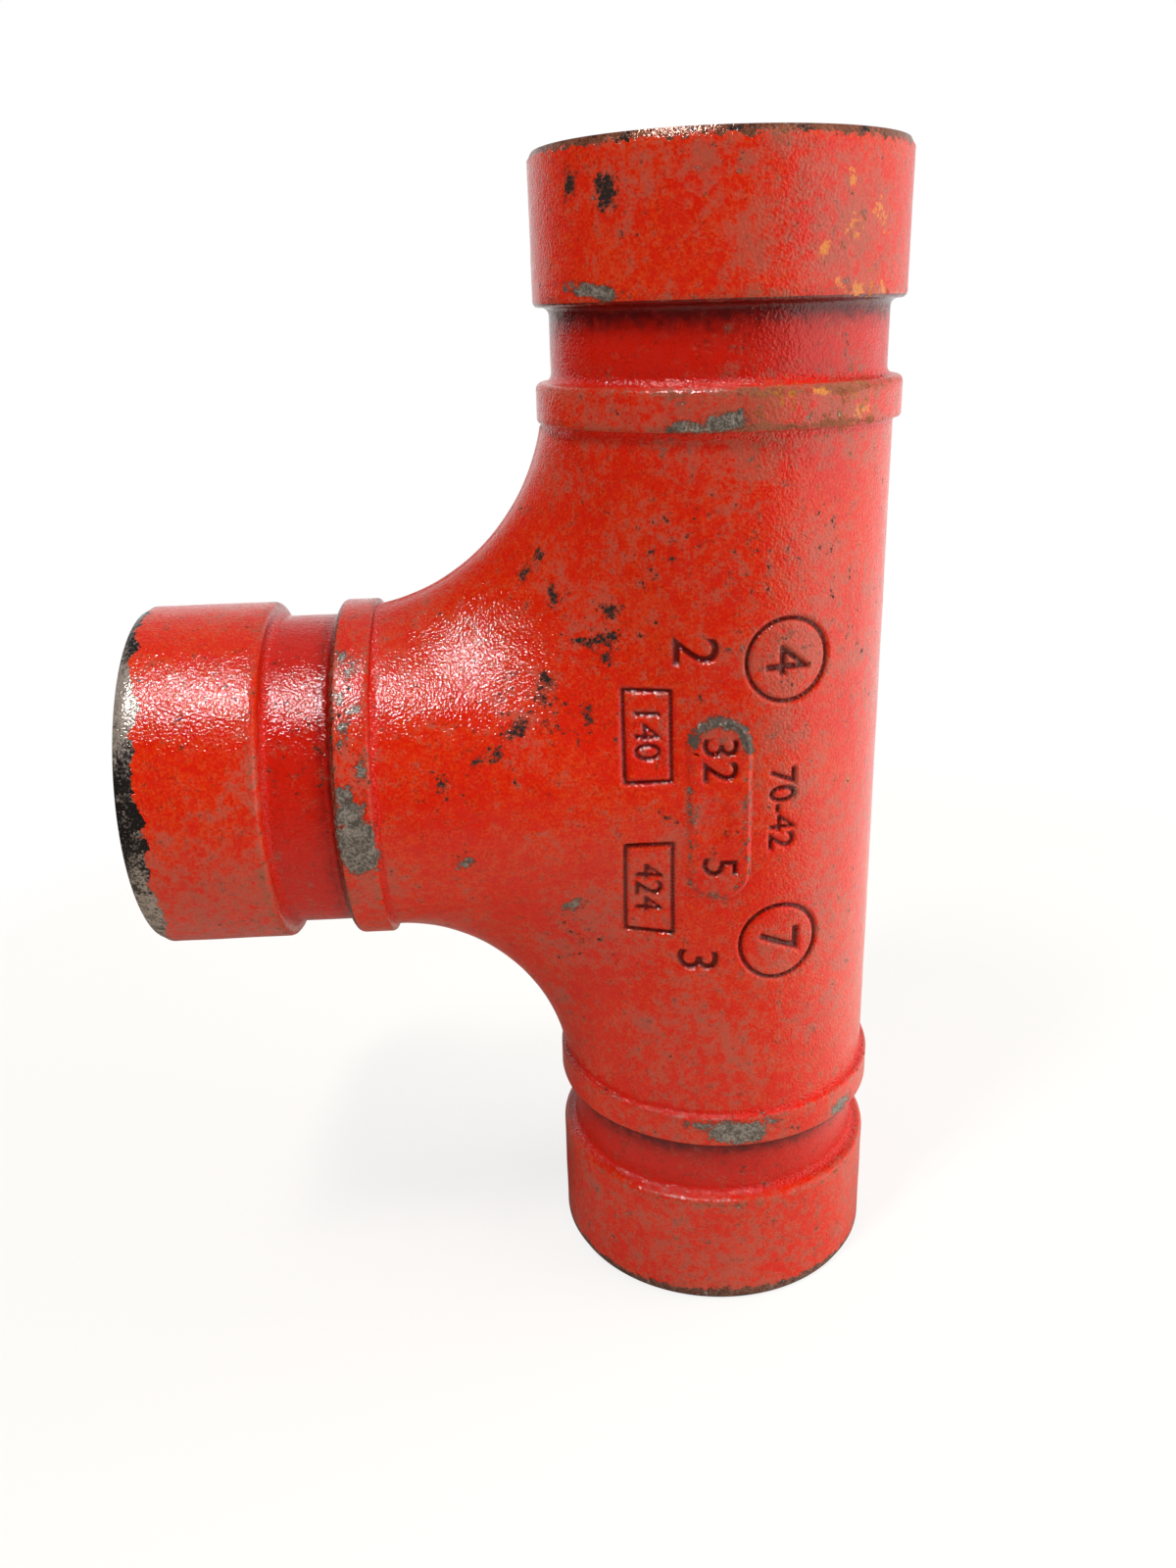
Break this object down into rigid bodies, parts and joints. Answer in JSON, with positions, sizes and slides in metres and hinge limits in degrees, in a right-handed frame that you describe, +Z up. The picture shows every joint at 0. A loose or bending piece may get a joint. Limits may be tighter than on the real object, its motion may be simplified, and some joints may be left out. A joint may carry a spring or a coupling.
{
  "type": "grooved tee",
  "caption": "Painted cast iron pipe tee: a straight run and a side branch of one bore, joined by a wide rounded crotch, each end grooved for a clamp coupling.",
  "frame": {"origin": "middle of the lower end face of the run, on the axis of the run", "axes": "+Z up along the run, -X along the branch, +Y towards the back, square to both pipes"},
  "size_m": [0.0912, 0.0424, 0.14],
  "materials": {
    "red_painted_iron": "worn semi-gloss red paint over sand-cast iron, chipped to bare grey metal at edges, with rust specks"
  },
  "bodies": {
    "root": {"tee_casting": "red_painted_iron"}
  },
  "joints": []
}
